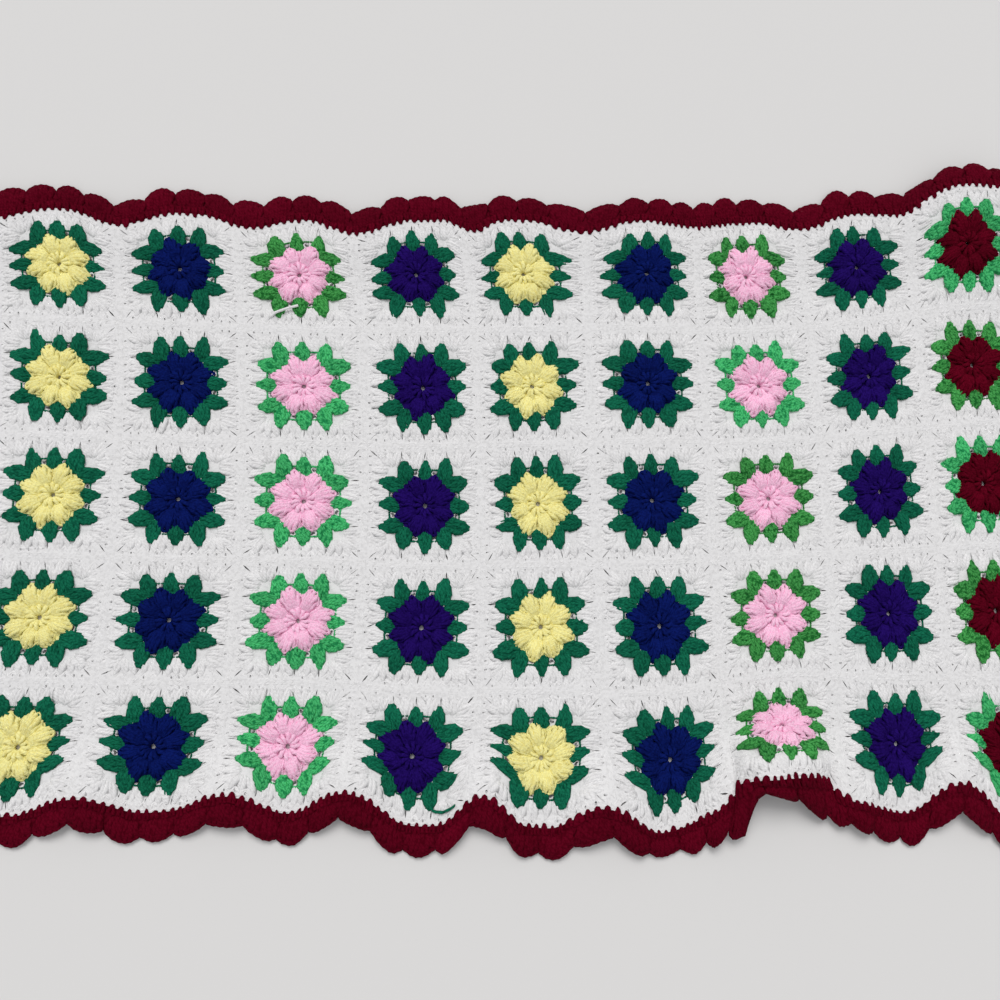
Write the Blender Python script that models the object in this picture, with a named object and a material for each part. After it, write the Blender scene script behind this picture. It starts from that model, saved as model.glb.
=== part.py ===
"""Granny square blanket.

Fifty crocheted squares, ten columns by five rows, are sewn edge to edge. Each has a raised
eight-petalled flower in its middle and open gaps round it. One border runs round them all: a
band with four scallops along each square. The blanket lies on a flat surface, with its two long
edges drawn in and lifted a little at every joint between columns, and with two larger folds.

Metres, +Z up. +X runs along the blanket and +Y across it. The underside rests on z = 0.
"""

import bmesh
import bpy
import numpy as np
from mathutils import Vector
from mathutils.geometry import delaunay_2d_cdt

MM = 0.001

# The squares
PITCH = 0.110                  # from the middle of one square to the middle of the next
COLUMNS = 10
ROWS = 5
SEAM_GAP = 0.0003              # between two neighbouring pieces
GROUND = 0.005                 # thickness of the crocheted ground
SIDE_STEPS = 4                 # straight runs along one side of a square

# The flower, measured from its centre. Heights are above the ground's upper face
HOLE_RADIUS = 0.0022
HOLE_SIDES = 8
HOLE_HEIGHT = 0.0035
PETALS = 8
CREST_RADIUS = 0.0230          # the top of a petal
CREST_HEIGHT = 0.0070
FURROW_RADIUS = 0.0160         # the dip between two petals, at the crest's level
FURROW_HEIGHT = 0.0035
TIP_RADIUS = 0.0300            # the foot of a petal's round end
TIP_SPREAD = 11.0              # half the angle across that end, in degrees
TIP_HEIGHT = 0.0010
NOTCH_RADIUS = 0.0245          # the foot of the notch between two petals
NOTCH_HEIGHT = 0.0002

# One open gap on each side of the flower, just outside a petal's tip
GAP_ANGLE = 17.0               # from the middle of the side, in degrees
GAP_RADIUS = 0.0330
GAP_WIDTH = 0.0055

# The border
BORDER_DEPTH = 0.0260          # from the squares to a scallop's tip
SCALLOP_RISE = 0.0070          # from the foot to the tip of a scallop
CORNER_REACH = 0.0030          # how much further a corner scallop goes
BORDER_EDGE = 0.0060           # thickness where it joins the squares
BORDER_CROWN = 0.0085          # thickness along its fattest line
BORDER_RIM = 0.0045            # thickness at the scallops
CROWN_SHARE = 0.55             # how far out the fattest line runs, as a share of the depth
STATIONS = 4                   # points along one scallop

# How far each column of squares has crept from an even grid, in millimetres: along the blanket and
# across it, at the bottom row, the middle row and the top row
CREEP = (
    # along: bottom, middle, top    across: bottom, middle, top
    (-16.0, 4.0, 0.0, 9.0, 9.0, 7.0),
    (-12.0, 6.0, 0.0, 8.0, 6.0, 4.0),
    (-8.0, 6.0, 0.0, 5.0, 1.0, 0.0),
    (-3.0, 8.0, 1.0, 3.0, -2.0, -5.0),
    (-5.0, 8.0, 1.0, -8.0, -7.0, -3.0),
    (-1.0, 2.0, -6.0, -13.0, -6.0, -3.0),
    (5.0, -1.0, 4.0, -19.0, -4.0, -1.0),
    (-4.0, 0.0, -8.0, 0.0, -3.0, -4.0),
    (-6.0, -2.0, -6.0, -9.0, 3.0, 7.0),
    (-9.0, -9.0, -7.0, -16.0, 10.0, 21.0),
)

# How the two long edges are drawn in and lifted: at every joint between columns, and let out again
# in the middle of most squares. Reaches along the edge are in squares
EDGES = (
    # column line, reach, drawn in at the bottom, at the top, lifted at the bottom, at the top (mm)
    (0.00, 0.45, 2.0, 6.0, 2.0, 2.0),
    (0.50, 0.45, -4.0, 0.0, 0.0, 0.0),
    (1.00, 0.45, 8.0, 13.0, 9.0, 4.0),
    (1.50, 0.45, -4.0, 0.0, 0.0, 0.0),
    (2.03, 0.45, 11.0, 16.0, 10.0, 4.0),
    (2.50, 0.45, -2.0, 0.0, 0.0, 0.0),
    (3.12, 0.42, 12.0, 11.0, 11.0, 3.0),
    (3.50, 0.45, -4.0, 0.0, 0.0, 0.0),
    (4.05, 0.45, 19.0, 17.0, 12.0, 5.0),
    (4.60, 0.45, -5.0, 3.0, 0.0, 0.0),
    (5.08, 0.31, 23.0, 14.0, 12.0, 4.0),
    (5.55, 0.45, -3.0, 0.0, 0.0, 0.0),
    (5.98, 0.42, 21.0, 14.0, 13.0, 5.0),
    (6.28, 0.45, -5.0, 0.0, 0.0, 0.0),
    (6.50, 0.45, 4.0, 0.0, 0.0, 0.0),
    (6.97, 0.45, 10.0, 6.0, 13.0, 3.0),
    (8.05, 0.40, 3.0, 12.0, 13.0, 4.0),
    (8.50, 0.45, -2.0, 0.0, 0.0, 0.0),
    (9.00, 0.45, 30.0, 9.0, 14.0, 4.0),
    (10.00, 0.45, 6.0, 6.0, 3.0, 3.0),
)
EDGE_DEPTH = 0.85              # how far a place's draw spreads in from the edge, in squares
LIFT_REACH = 0.42
LIFT_DEPTH = 0.60

# Folds that rise at a long edge. Reaches are in squares; heights and moves are in millimetres
FOLDS = (
    # column line, row line, reach across, height, its reach along, moved up, its reach
    (7.47, 0.0, 0.80, 32.0, 0.44, 22.0, 0.62),
    (9.62, 5.0, 1.30, 16.0, 0.72, 11.0, 0.68),
)

# What the border's rim does there, between two column lines and for a length beyond each
RIMS = (
    # row line, from, length before it, to, length beyond it, moved up, slid along, lifted (mm)
    (0.0, 7.23, 0.07, 7.26, 0.60, 33.0, 0.0, 22.0),
    (0.0, 7.00, 0.25, 7.10, 0.12, -5.0, -8.0, 0.0),
    (0.0, 7.60, 0.50, 7.80, 0.50, 0.0, 18.0, 0.0),
    (0.0, 6.42, 0.30, 6.42, 0.30, 8.0, 0.0, 0.0),
    (5.0, 9.50, 0.45, 9.74, 0.45, 11.0, 0.0, 10.5),
)
BORDER_DROOP = 0.35            # share of an edge's lift that the border's outer edge loses

# From the middle of the grid to the middle of the finished blanket's box
MIDDLE = (-0.014158, 0.001433)

# Surfaces: colour, roughness
WHITE_YARN = ((0.80, 0.79, 0.77, 1.0), 0.85)
DARK_RED_YARN = ((0.145, 0.004, 0.016, 1.0), 0.85)


def hump(distance):
    """A smooth bump: 1 at 0, and 0 from a distance of 1 on."""
    t = np.clip(np.abs(distance), 0.0, 1.0)
    return 1.0 - t * t * (3.0 - 2.0 * t)


def plateau(distance):
    """A smooth bump with a broad top: 1 at 0, and 0 from a distance of 1 on."""
    return hump(np.clip(np.abs(distance), 0.0, 1.0) ** 2)


def smooth_between(values, place):
    """A smooth curve through evenly spaced values, read at place."""
    last = len(values) - 1
    place = np.clip(place, -0.7, last + 0.7)
    i = np.clip(np.floor(place).astype(int), 0, last - 1)
    t = place - i
    before, here = values[np.clip(i - 1, 0, last)], values[i]
    there, after = values[i + 1], values[np.clip(i + 2, 0, last)]
    bend = 2.0 * before - 5.0 * here + 4.0 * there - after
    twist = 3.0 * here - before - 3.0 * there + after
    return 0.5 * (2.0 * here + (there - before) * t + bend * t**2 + twist * t**3)


def cloth(x, y):
    """Where points of the flat blanket lie: x and y from the middle of the grid, in metres."""
    u = np.asarray(x, dtype=float) / PITCH + COLUMNS / 2.0
    v = np.asarray(y, dtype=float) / PITCH + ROWS / 2.0
    creep = np.array(CREEP)
    height = (v - 0.5) / (ROWS - 1.0)
    weights = (
        2.0 * (height - 0.5) * (height - 1.0),
        4.0 * height * (1.0 - height),
        2.0 * height * (height - 0.5),
    )
    along = sum(w * smooth_between(creep[:, k], u - 0.5) for k, w in enumerate(weights))
    across = sum(w * smooth_between(creep[:, k + 3], u - 0.5) for k, w in enumerate(weights))
    from_bottom = np.clip(v, 0.0, None)
    from_top = np.clip(ROWS - v, 0.0, None)
    lift = np.zeros_like(u)
    for line, reach, draw_bottom, draw_top, lift_bottom, lift_top in EDGES:
        draw = draw_bottom * hump(from_bottom / EDGE_DEPTH)
        draw = draw - draw_top * hump(from_top / EDGE_DEPTH)
        across = across + draw * hump((u - line) / reach)
        rise = lift_bottom * hump(from_bottom / LIFT_DEPTH)
        rise = rise + lift_top * hump(from_top / LIFT_DEPTH)
        lift = lift + rise * hump((u - line) / LIFT_REACH)
    outside = np.clip(np.maximum(-v, v - ROWS) * PITCH / BORDER_DEPTH, 0.0, 1.0)
    lift = lift * (1.0 - BORDER_DROOP * outside)
    for line, row, depth, fold_height, height_reach, moved, moved_reach in FOLDS:
        near_row = hump((np.clip(v, 0.0, ROWS) - row) / depth) * (1.0 - outside)
        lift = lift + fold_height * near_row * plateau((u - line) / height_reach)
        across = across + moved * near_row * plateau((u - line) / moved_reach)
    for row, start, before, end, beyond, moved, slid, lifted in RIMS:
        share = outside * (np.abs(v - row) < ROWS / 2.0)
        share = share * hump(np.clip((start - u) / before, 0.0, 1.0))
        share = share * hump(np.clip((u - end) / beyond, 0.0, 1.0))
        across = across + moved * share
        along = along + slid * share
        lift = lift + lifted * share
    return (
        np.asarray(x) + along * MM - MIDDLE[0],
        np.asarray(y) + across * MM - MIDDLE[1],
        lift * MM,
    )


def ring(count, radius, start=0.0):
    """Points evenly round a circle, from the angle start in degrees."""
    angles = np.radians(start) + np.arange(count) * 2.0 * np.pi / count
    return np.stack([radius * np.cos(angles), radius * np.sin(angles)], axis=1)


def petal_ring(tip_radius, tip_turns, notch_radius, tip_height, notch_height):
    """A ring of points that swings in between petals and out at each one, with their heights.
    tip_turns are the angles of a petal's outer points from its middle line, in degrees."""
    step = 1 + len(tip_turns)
    points = np.zeros((step * PETALS, 2))
    points[0::step] = ring(PETALS, notch_radius)
    for place, turn in enumerate(tip_turns, start=1):
        points[place::step] = ring(PETALS, tip_radius, 180.0 / PETALS + turn)
    heights = np.tile([notch_height] + [tip_height] * len(tip_turns), PETALS)
    return points, heights


def square_outline():
    """A square's outer edge, counter-clockwise from its lower left corner."""
    half = (PITCH - SEAM_GAP) / 2.0
    run = np.linspace(-half, half, SIDE_STEPS + 1)[:-1]
    fixed = np.full(SIDE_STEPS, half)
    sides = ((run, -fixed), (fixed, run), (-run, fixed), (-fixed, -run))
    return np.concatenate([np.stack(side, axis=1) for side in sides])


def gap_outlines():
    """The four open gaps round a flower, each a small square turned to face it."""
    outlines = []
    for side in range(4):
        angle = np.radians(90.0 * side + GAP_ANGLE)
        outward = np.array([np.cos(angle), np.sin(angle)])
        sideways = np.array([-outward[1], outward[0]])
        corners = ((-1, -1), (1, -1), (1, 1), (-1, 1))
        outlines.append(np.array([
            outward * (GAP_RADIUS + a * GAP_WIDTH / 2.0) + sideways * b * GAP_WIDTH / 2.0
            for a, b in corners
        ]))
    return outlines


def is_inside(points, outline):
    """Which points lie inside a closed outline."""
    inside = np.zeros(len(points), dtype=bool)
    px, py = points[:, 0], points[:, 1]
    for (ax, ay), (bx, by) in zip(outline, np.roll(outline, -1, axis=0)):
        if ay == by:
            continue
        crosses = (ay > py) != (by > py)
        inside ^= crosses & (px < ax + (py - ay) * (bx - ax) / (by - ay))
    return inside


def web(outline, holes, ridges=()):
    """Flat triangles inside an outline, outside its holes, with an edge along each ridge."""
    loops = [outline, *holes, *ridges]
    points = np.concatenate(loops)
    edges = []
    first = 0
    for loop in loops:
        count = len(loop)
        edges += [(first + i, first + (i + 1) % count) for i in range(count)]
        first += count
    coords = [Vector(point) for point in points]
    made = delaunay_2d_cdt(coords, edges, [], 0, 1e-7)
    source = [came_from[0] for came_from in made[3]]
    triangles = np.array([[source[i] for i in face] for face in made[2]])
    centres = points[triangles].mean(axis=1)
    kept = is_inside(centres, outline)
    for hole in holes:
        kept &= ~is_inside(centres, hole)
    return triangles[kept]


def cloth_solid(name, centre, outline, holes, ridges, upper, material, collection):
    """A closed solid on the cloth. upper holds the thickness at each point of its upper face, in
    the order outline, holes, ridges; the lower face has only the outline and the holes."""
    edge_points = np.concatenate([outline, *holes])
    top_points = np.concatenate([edge_points, *ridges])
    solid = bmesh.new()
    faces = []
    rims = []
    for points, thickness, triangles in (
        (edge_points, np.zeros(len(edge_points)), web(outline, holes)[:, ::-1]),
        (top_points, upper, web(outline, holes, ridges)),
    ):
        x, y, z = cloth(points[:, 0] + centre[0], points[:, 1] + centre[1])
        corners = [solid.verts.new(corner) for corner in zip(x, y, z + thickness)]
        faces += [solid.faces.new([corners[i] for i in triangle]) for triangle in triangles]
        rims.append(corners)
    first = 0
    for loop in (outline, *holes):
        count = len(loop)
        for i in range(count):
            a, b = first + i, first + (i + 1) % count
            solid.faces.new([rims[0][a], rims[0][b], rims[1][b], rims[1][a]])
        first += count
    bmesh.ops.triangulate(solid, faces=[face for face in solid.faces if len(face.verts) == 4])
    bmesh.ops.recalc_face_normals(solid, faces=solid.faces)
    mesh = bpy.data.meshes.new(name)
    solid.to_mesh(mesh)
    solid.free()
    mesh.materials.append(material)
    made = bpy.data.objects.new(name, mesh)
    collection.objects.link(made)
    return made


def yarn(name, colour, roughness):
    """The surface of one colour of yarn."""
    material = bpy.data.materials.new(name)
    material.use_nodes = True
    surface = material.node_tree.nodes["Principled BSDF"]
    surface.inputs["Base Color"].default_value = colour
    surface.inputs["Roughness"].default_value = roughness
    surface.inputs["Metallic"].default_value = 0.0
    material.diffuse_color = colour
    return material


for thing in list(bpy.data.objects):
    bpy.data.objects.remove(thing, do_unlink=True)

blanket = bpy.data.collections.new("granny_square_blanket")
bpy.context.scene.collection.children.link(blanket)
white = yarn("white_yarn", *WHITE_YARN)
dark_red = yarn("dark_red_yarn", *DARK_RED_YARN)

# Squares: a flat ground with the flower raised in its middle
edge = square_outline()
centre_hole = ring(HOLE_SIDES, HOLE_RADIUS)
gaps = gap_outlines()
crest, crest_height = petal_ring(
    CREST_RADIUS, (0.0,), FURROW_RADIUS, CREST_HEIGHT, FURROW_HEIGHT,
)
foot, foot_height = petal_ring(
    TIP_RADIUS, (-TIP_SPREAD, TIP_SPREAD), NOTCH_RADIUS, TIP_HEIGHT, NOTCH_HEIGHT,
)
relief = np.concatenate([
    np.zeros(len(edge)),
    np.full(HOLE_SIDES, HOLE_HEIGHT),
    np.zeros(sum(len(gap) for gap in gaps)),
    crest_height,
    foot_height,
])
for column in range(COLUMNS):
    for row in range(1, ROWS + 1):
        centre = (
            (column + 0.5 - COLUMNS / 2.0) * PITCH,
            (ROWS / 2.0 - row + 0.5) * PITCH,
        )
        cloth_solid(
            f"square_c{column}_r{row}", centre, edge, [centre_hole, *gaps],
            [crest, foot], GROUND + relief, white, blanket,
        )

# Border: one closed band. Its inner edge has a point at every quarter of a square's side, and each
# run between two of them carries one scallop
half_length = COLUMNS * PITCH / 2.0 + SEAM_GAP / 2.0
half_width = ROWS * PITCH / 2.0 + SEAM_GAP / 2.0
inner, outer, crown = [], [], []
outer_wave = []
corner_points = (
    (-half_length, -half_width), (half_length, -half_width),
    (half_length, half_width), (-half_length, half_width),
)
side_counts = (COLUMNS, ROWS, COLUMNS, ROWS)
for side, squares in enumerate(side_counts):
    start = np.array(corner_points[side])
    end = np.array(corner_points[(side + 1) % 4])
    outward = np.array([(end - start)[1], -(end - start)[0]]) / np.linalg.norm(end - start)
    scallops = squares * SIDE_STEPS
    for scallop in range(scallops):
        inner.append(start + (end - start) * scallop / scallops)
        for station in range(STATIONS):
            share = station / STATIONS
            foot_point = start + (end - start) * (scallop + share) / scallops
            swell = np.sin(np.pi * share) ** 0.8
            outer.append(foot_point + outward * (BORDER_DEPTH - SCALLOP_RISE * (1.0 - swell)))
            if station % 2 == 0:
                crown.append(foot_point + outward * BORDER_DEPTH * CROWN_SHARE)
    turn_from = np.arctan2(outward[1], outward[0])
    for station in range(STATIONS):
        share = station / STATIONS
        angle = turn_from + share * np.pi / 2.0
        away = np.array([np.cos(angle), np.sin(angle)])
        swell = np.sin(np.pi * share)
        reach = BORDER_DEPTH - SCALLOP_RISE + (SCALLOP_RISE + CORNER_REACH) * swell
        outer.append(end + away * reach)
        if station % 2 == 0:
            crown.append(end + away * BORDER_DEPTH * CROWN_SHARE)
inner, outer, crown = np.array(inner), np.array(outer), np.array(crown)
border_upper = np.concatenate([
    np.full(len(outer), BORDER_RIM),
    np.full(len(inner), BORDER_EDGE),
    np.full(len(crown), BORDER_CROWN),
])
cloth_solid(
    "border", (0.0, 0.0), outer, [inner], [crown], border_upper, dark_red, blanket,
)
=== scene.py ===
import math

import bmesh
import bpy
import numpy as np
from mathutils import Matrix, Vector
from mathutils.geometry import delaunay_2d_cdt


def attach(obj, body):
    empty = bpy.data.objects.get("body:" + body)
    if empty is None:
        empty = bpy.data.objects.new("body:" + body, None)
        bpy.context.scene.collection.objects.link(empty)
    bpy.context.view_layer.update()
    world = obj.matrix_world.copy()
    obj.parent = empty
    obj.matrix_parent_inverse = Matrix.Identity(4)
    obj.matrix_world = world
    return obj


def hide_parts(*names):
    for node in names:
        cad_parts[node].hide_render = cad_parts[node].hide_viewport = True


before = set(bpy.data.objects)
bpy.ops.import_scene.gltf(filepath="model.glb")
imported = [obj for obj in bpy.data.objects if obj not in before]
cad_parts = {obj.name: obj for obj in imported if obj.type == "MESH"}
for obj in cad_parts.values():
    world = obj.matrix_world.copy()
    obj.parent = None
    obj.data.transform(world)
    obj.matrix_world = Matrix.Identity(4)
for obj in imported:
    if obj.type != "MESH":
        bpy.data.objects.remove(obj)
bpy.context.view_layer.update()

# --------------------------------------
# The blanket as it lies. Fifty crocheted squares, ten columns by five rows, joined edge to edge
# inside one border and laid on a flat surface. Every piece below is worked flat, in millimetres
# from the middle of the grid, and then laid on this shape.
# --------------------------------------
MM = 0.001
PITCH = 110.0                  # from the middle of one square to the next
COLUMNS = 10
ROWS = 5
SQUARES = [(column, row) for column in range(COLUMNS) for row in range(1, ROWS + 1)]
BORDER_DEPTH = 26.0
CLEAR_OF_FLOOR = 0.05          # the least height of anything over the floor

# How far each column of squares has crept from an even grid: along the blanket and across it, at
# the bottom row, the middle row and the top row
CREEP = (
    # along: bottom, middle, top    across: bottom, middle, top
    (-16.0, 4.0, 0.0, 9.0, 9.0, 7.0),
    (-12.0, 6.0, 0.0, 8.0, 6.0, 4.0),
    (-8.0, 6.0, 0.0, 5.0, 1.0, 0.0),
    (-3.0, 8.0, 1.0, 3.0, -2.0, -5.0),
    (-5.0, 8.0, 1.0, -8.0, -7.0, -3.0),
    (-1.0, 2.0, -6.0, -13.0, -6.0, -3.0),
    (5.0, -1.0, 4.0, -19.0, -4.0, -1.0),
    (-4.0, 0.0, -8.0, 0.0, -3.0, -4.0),
    (-6.0, -2.0, -6.0, -9.0, 3.0, 7.0),
    (-9.0, -9.0, -7.0, -16.0, 10.0, 21.0),
)

# Where the two long edges are drawn in and lifted: at every joint between columns, and let out
# again in the middle of most squares. Reaches along the edge are in squares
EDGES = (
    # column line, reach, drawn in at the bottom, at the top, lifted at the bottom, at the top
    (0.00, 0.45, 2.0, 6.0, 2.0, 2.0),
    (0.50, 0.45, -4.0, 0.0, 0.0, 0.0),
    (1.00, 0.45, 8.0, 13.0, 9.0, 4.0),
    (1.50, 0.45, -4.0, 0.0, 0.0, 0.0),
    (2.03, 0.45, 11.0, 16.0, 10.0, 4.0),
    (2.50, 0.45, -2.0, 0.0, 0.0, 0.0),
    (3.12, 0.42, 12.0, 11.0, 11.0, 3.0),
    (3.50, 0.45, -4.0, 0.0, 0.0, 0.0),
    (4.05, 0.45, 19.0, 17.0, 12.0, 5.0),
    (4.60, 0.45, -5.0, 3.0, 0.0, 0.0),
    (5.08, 0.31, 23.0, 14.0, 12.0, 4.0),
    (5.55, 0.45, -3.0, 0.0, 0.0, 0.0),
    (5.98, 0.42, 21.0, 14.0, 13.0, 5.0),
    (6.28, 0.45, -5.0, 0.0, 0.0, 0.0),
    (6.50, 0.45, 4.0, 0.0, 0.0, 0.0),
    (6.97, 0.45, 10.0, 6.0, 13.0, 3.0),
    (8.05, 0.40, 3.0, 12.0, 13.0, 4.0),
    (8.50, 0.45, -2.0, 0.0, 0.0, 0.0),
    (9.00, 0.45, 30.0, 9.0, 14.0, 4.0),
    (10.00, 0.45, 6.0, 6.0, 3.0, 3.0),
)
EDGE_DEPTH = 0.85              # how far into the blanket the drawing in and the lift go, in squares
LIFT_DEPTH = 0.60
LIFT_REACH = 0.42

# Folds that rise at a long edge. Reaches are in squares
FOLDS = (
    # column line, row line, reach across, height, its reach along, moved up, its reach
    (7.47, 0.0, 0.80, 32.0, 0.44, 22.0, 0.62),
    (9.62, 5.0, 1.30, 16.0, 0.72, 11.0, 0.68),
)

# What the border's rim does there, between two column lines and for a length beyond each
RIMS = (
    # row line, from, length before it, to, length beyond it, moved up, slid along, lifted
    (0.0, 7.23, 0.07, 7.26, 0.60, 33.0, 0.0, 22.0),
    (0.0, 7.00, 0.25, 7.10, 0.12, -5.0, -8.0, 0.0),
    (0.0, 7.60, 0.50, 7.80, 0.50, 0.0, 18.0, 0.0),
    (0.0, 6.42, 0.30, 6.42, 0.30, 8.0, 0.0, 0.0),
    (5.0, 9.50, 0.45, 9.74, 0.45, 11.0, 0.0, 10.5),
)
BORDER_DROOP = 0.35            # the share of a lift that is lost at the border's rim
MIDDLE = (-14.158, 1.433)      # the middle of the blanket as it lies, set at the origin


def hump(distance):
    """A smooth bump: 1 at 0, and 0 from a distance of 1 on."""
    t = np.clip(np.abs(distance), 0.0, 1.0)
    return 1.0 - t * t * (3.0 - 2.0 * t)


def plateau(distance):
    """A smooth bump with a broad top: 1 at 0, and 0 from a distance of 1 on."""
    return hump(np.clip(np.abs(distance), 0.0, 1.0) ** 2)


def smooth_between(values, place):
    """A smooth curve through evenly spaced values, read at place."""
    last = len(values) - 1
    place = np.clip(place, -0.7, last + 0.7)
    i = np.clip(np.floor(place).astype(int), 0, last - 1)
    t = place - i
    before, here = values[np.clip(i - 1, 0, last)], values[i]
    there, after = values[i + 1], values[np.clip(i + 2, 0, last)]
    bend = 2.0 * before - 5.0 * here + 4.0 * there - after
    twist = 3.0 * here - before - 3.0 * there + after
    return 0.5 * (2.0 * here + (there - before) * t + bend * t**2 + twist * t**3)


def cloth(x, y):
    """Where flat points lie, in millimetres: an array of x, y and height."""
    u = x / PITCH + COLUMNS / 2.0
    v = y / PITCH + ROWS / 2.0
    creep = np.array(CREEP)
    height = (v - 0.5) / (ROWS - 1.0)
    weights = (
        2.0 * (height - 0.5) * (height - 1.0),
        4.0 * height * (1.0 - height),
        2.0 * height * (height - 0.5),
    )
    along = sum(w * smooth_between(creep[:, k], u - 0.5) for k, w in enumerate(weights))
    across = sum(w * smooth_between(creep[:, k + 3], u - 0.5) for k, w in enumerate(weights))
    from_bottom = np.clip(v, 0.0, None)
    from_top = np.clip(ROWS - v, 0.0, None)
    lift = np.zeros_like(u)
    for line, reach, draw_bottom, draw_top, lift_bottom, lift_top in EDGES:
        draw = draw_bottom * hump(from_bottom / EDGE_DEPTH)
        draw = draw - draw_top * hump(from_top / EDGE_DEPTH)
        across = across + draw * hump((u - line) / reach)
        rise = lift_bottom * hump(from_bottom / LIFT_DEPTH)
        rise = rise + lift_top * hump(from_top / LIFT_DEPTH)
        lift = lift + rise * hump((u - line) / LIFT_REACH)
    outside = np.clip(np.maximum(-v, v - ROWS) * PITCH / BORDER_DEPTH, 0.0, 1.0)
    lift = lift * (1.0 - BORDER_DROOP * outside)
    for line, row, depth, fold_height, height_reach, moved, moved_reach in FOLDS:
        near_row = hump((np.clip(v, 0.0, ROWS) - row) / depth) * (1.0 - outside)
        lift = lift + fold_height * near_row * plateau((u - line) / height_reach)
        across = across + moved * near_row * plateau((u - line) / moved_reach)
    for row, start, before, end, beyond, moved, slid, lifted in RIMS:
        share = outside * (np.abs(v - row) < ROWS / 2.0)
        share = share * hump(np.clip((start - u) / before, 0.0, 1.0))
        share = share * hump(np.clip((u - end) / beyond, 0.0, 1.0))
        across = across + moved * share
        along = along + slid * share
        lift = lift + lifted * share
    return np.stack([x + along - MIDDLE[0], y + across - MIDDLE[1], lift], axis=1)


def lay(points):
    """Lays flat points (x, y and height above the underside, in millimetres) on the cloth's shape,
    each at its height along the cloth's own upright. The result is in metres."""
    x, y, rise = points.T
    step = 1.0
    here = cloth(x, y)
    side = cloth(x + step, y) - cloth(x - step, y)
    up = cloth(x, y + step) - cloth(x, y - step)
    normal = np.cross(side, up)
    normal /= np.linalg.norm(normal, axis=1)[:, None]
    laid = here + normal * rise[:, None]
    laid[:, 2] = np.maximum(laid[:, 2], CLEAR_OF_FLOOR)
    return laid * MM


def square_middle(column, row):
    """The middle of a square in the flat grid. Row 1 is the top row of the photo."""
    return np.array([
        (column + 0.5 - COLUMNS / 2.0) * PITCH,
        (ROWS / 2.0 - row + 0.5) * PITCH,
    ])


# The colours of the flowers go by columns, and the greens of the leaves by flower and row
COLUMN_FLOWERS = (
    "dark_red", "yellow", "navy", "pink", "purple",
    "yellow", "navy", "pink", "purple", "dark_red",
)
BRIGHT_LEAVES = (
    (3, 2), (3, 3), (3, 4), (3, 5), (7, 2),
    (9, 1), (9, 3), (9, 5), (0, 1), (0, 3), (0, 5),
)
LIGHTER_COLUMNS = (0, 3, 7, 9)


def leaf_green(column, row):
    """Which green a square's leaves are worked in."""
    if (column, row) in BRIGHT_LEAVES:
        return "bright_green"
    if column in LIGHTER_COLUMNS:
        return "mid_green"
    return "deep_green"


# --------------------------------------
# The yarn. Plied acrylic, matt and a little fuzzy, with three plies laid round each strand. Its
# surface is worked out once, in a node group, and each colour of yarn is a material with it.
# --------------------------------------
PLIES = 3
PLY_LENGTH = 0.0085            # one turn of a ply along the strand, in metres
FIBRES_PER_METRE, FIBRE_SHARE = 2600.0, 0.45   # how many, and how high they stand, in plies
LUMPS_PER_METRE, LUMP_SHARE = 330.0, 3.0
BLOTCHES_PER_METRE = 120.0
CREASE = 0.55                  # the part of a ply's height that is shaded as a crease
LOW_PLACE_SHADE = (0.38, 0.50)          # painted shade: the low places of the lumps, as dark as a crease, and where that ends


def new_node(tree, kind, **inputs):
    """A node in a tree, with values or links for its inputs, named with _ for a space."""
    node = tree.nodes.new(kind)
    for name, value in inputs.items():
        socket = node.inputs[name.replace("_", " ")]
        if isinstance(value, bpy.types.NodeSocket):
            tree.links.new(value, socket)
        else:
            socket.default_value = value
    return node


def maths(tree, operation, a, b=0.0, c=0.0):
    """A Math node's result."""
    node = tree.nodes.new("ShaderNodeMath")
    node.operation = operation
    for socket, value in zip(node.inputs, (a, b, c)):
        if isinstance(value, bpy.types.NodeSocket):
            tree.links.new(value, socket)
        else:
            socket.default_value = value
    return node.outputs[0]


def attribute(tree, name, output):
    """One of a mesh's own attributes, as a material reads it."""
    node = tree.nodes.new("ShaderNodeAttribute")
    node.attribute_name = name
    return node.outputs[output]


yarn_surface = bpy.data.node_groups.new("yarn surface", "ShaderNodeTree")
for name, kind in (("Colour", "NodeSocketColor"), ("Crease Colour", "NodeSocketColor"),
                   ("Mottle", "NodeSocketFloat")):
    yarn_surface.interface.new_socket(name, in_out="INPUT", socket_type=kind)
for name, kind in (("Colour", "NodeSocketColor"), ("Roughness", "NodeSocketFloat"),
                   ("Height", "NodeSocketFloat")):
    yarn_surface.interface.new_socket(name, in_out="OUTPUT", socket_type=kind)
given = yarn_surface.nodes.new("NodeGroupInput")
result = yarn_surface.nodes.new("NodeGroupOutput")
turns = new_node(yarn_surface, "ShaderNodeSeparateXYZ",
                 Vector=attribute(yarn_surface, "round", "Vector"))
turn = maths(yarn_surface, "ARCTAN2", turns.outputs["Y"], turns.outputs["X"])
travel = maths(yarn_surface, "MULTIPLY", attribute(yarn_surface, "along", "Fac"),
               PLIES * math.pi / PLY_LENGTH)
phase = maths(yarn_surface, "MULTIPLY_ADD", turn, PLIES / 2.0, travel)
ply = maths(yarn_surface, "ABSOLUTE", maths(yarn_surface, "SINE", phase))
place = new_node(yarn_surface, "ShaderNodeTexCoord")
fibres = new_node(yarn_surface, "ShaderNodeTexNoise", Vector=place.outputs["Object"],
                  Scale=FIBRES_PER_METRE, Detail=2.0)
blotches = new_node(yarn_surface, "ShaderNodeTexNoise", Vector=place.outputs["Object"],
                    Scale=BLOTCHES_PER_METRE, Detail=3.0)
lumps = new_node(yarn_surface, "ShaderNodeTexNoise", Vector=place.outputs["Object"],
                 Scale=LUMPS_PER_METRE, Detail=1.5)
fuzz = maths(yarn_surface, "MULTIPLY_ADD", fibres.outputs["Fac"], FIBRE_SHARE, ply)
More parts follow.
